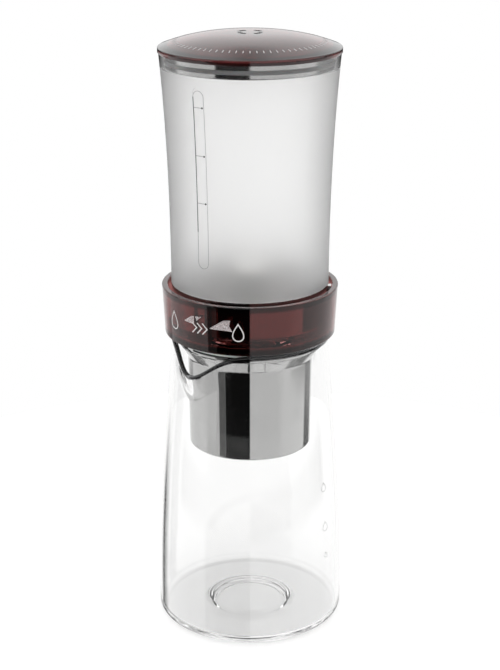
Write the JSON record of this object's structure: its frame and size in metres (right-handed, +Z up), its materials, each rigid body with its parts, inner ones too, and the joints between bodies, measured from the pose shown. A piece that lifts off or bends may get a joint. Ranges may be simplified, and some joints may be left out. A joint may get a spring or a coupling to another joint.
{
  "type": "cold brew coffee maker",
  "caption": "Cold brew coffee maker: glass carafe with a drawn spout, steel filter cup, turning flow regulator ring, frosted water tank with metering valve, vented domed lid.",
  "frame": {"origin": "centre of the carafe's foot, on the table surface", "axes": "+Z up along the common axis of all pieces; -Y towards the viewer of the picture; the spout points to the left of -Y"},
  "size_m": [0.092, 0.092, 0.2906],
  "materials": {
    "clear_glass": "clear borosilicate glass, fire-polished",
    "polished_steel": "mirror-polished stainless steel",
    "satin_steel": "satin stainless steel",
    "steel_mesh": "etched stainless steel mesh",
    "white_silicone": "soft food-grade silicone, slightly translucent",
    "dark_plastic": "glossy dark red-brown plastic",
    "smoked_red_plastic": "clear glossy plastic tinted dark red-brown",
    "ivory_plastic": "low-friction off-white plastic",
    "frosted_plastic": "frosted translucent white plastic with a clear band at the rim"
  },
  "bodies": {
    "carafe": {"carafe": "clear_glass"},
    "filter": {"filter_cup": "polished_steel", "cup_gasket": "white_silicone", "filter_mesh": "steel_mesh", "mesh_ring": "polished_steel"},
    "spreader": {"spreader_disc": "satin_steel", "spreader_knob": "dark_plastic"},
    "base": {"dripper_base": "dark_plastic", "base_band": "polished_steel", "base_gasket": "white_silicone"},
    "ring": {"regulator_ring": "smoked_red_plastic", "cam_hub": "ivory_plastic"},
    "tank": {"tank": "frosted_plastic", "tank_foot": "polished_steel", "valve_seat": "ivory_plastic", "seat_gasket": "white_silicone", "seat_nut": "ivory_plastic", "strainer": "satin_steel", "strainer_cap": "ivory_plastic"},
    "needle": {"metering_needle": "satin_steel", "cross_pin": "satin_steel", "needle_spring": "satin_steel"},
    "lid": {"lid_dome": "smoked_red_plastic", "lid_skirt": "polished_steel", "lid_seal": "white_silicone"}
  },
  "joints": [
    {"name": "cup_lift", "type": "slide", "parent": "carafe", "child": "filter", "axis": [0, 0, 1], "range_m": [0, 0.06]},
    {"name": "spreader_lift", "type": "slide", "parent": "filter", "child": "spreader", "axis": [0, 0, 1], "range_m": [0, 0.0025]},
    {"name": "dripper_lift", "type": "slide", "parent": "filter", "child": "base", "axis": [0, 0, 1], "range_m": [0, 0.02]},
    {"name": "flow_turn", "type": "hinge", "parent": "base", "child": "ring", "pos_m": [0, 0, 0.153], "axis": [0, 0, 1], "range_deg": [0, 50]},
    {"name": "tank_lift", "type": "slide", "parent": "base", "child": "tank", "axis": [0, 0, 1], "range_m": [0, 0.02]},
    {"name": "needle_slide", "type": "slide", "parent": "tank", "child": "needle", "axis": [0, 0, 1], "range_m": [0, 0.0012], "deforming": ["needle_spring"]},
    {"name": "lid_lift", "type": "slide", "parent": "tank", "child": "lid", "axis": [0, 0, 1], "range_m": [0, 0.012]}
  ],
  "couplings": [
    {"joint": "needle_slide", "follows": "flow_turn", "m_per_rad": 0.001375}
  ]
}
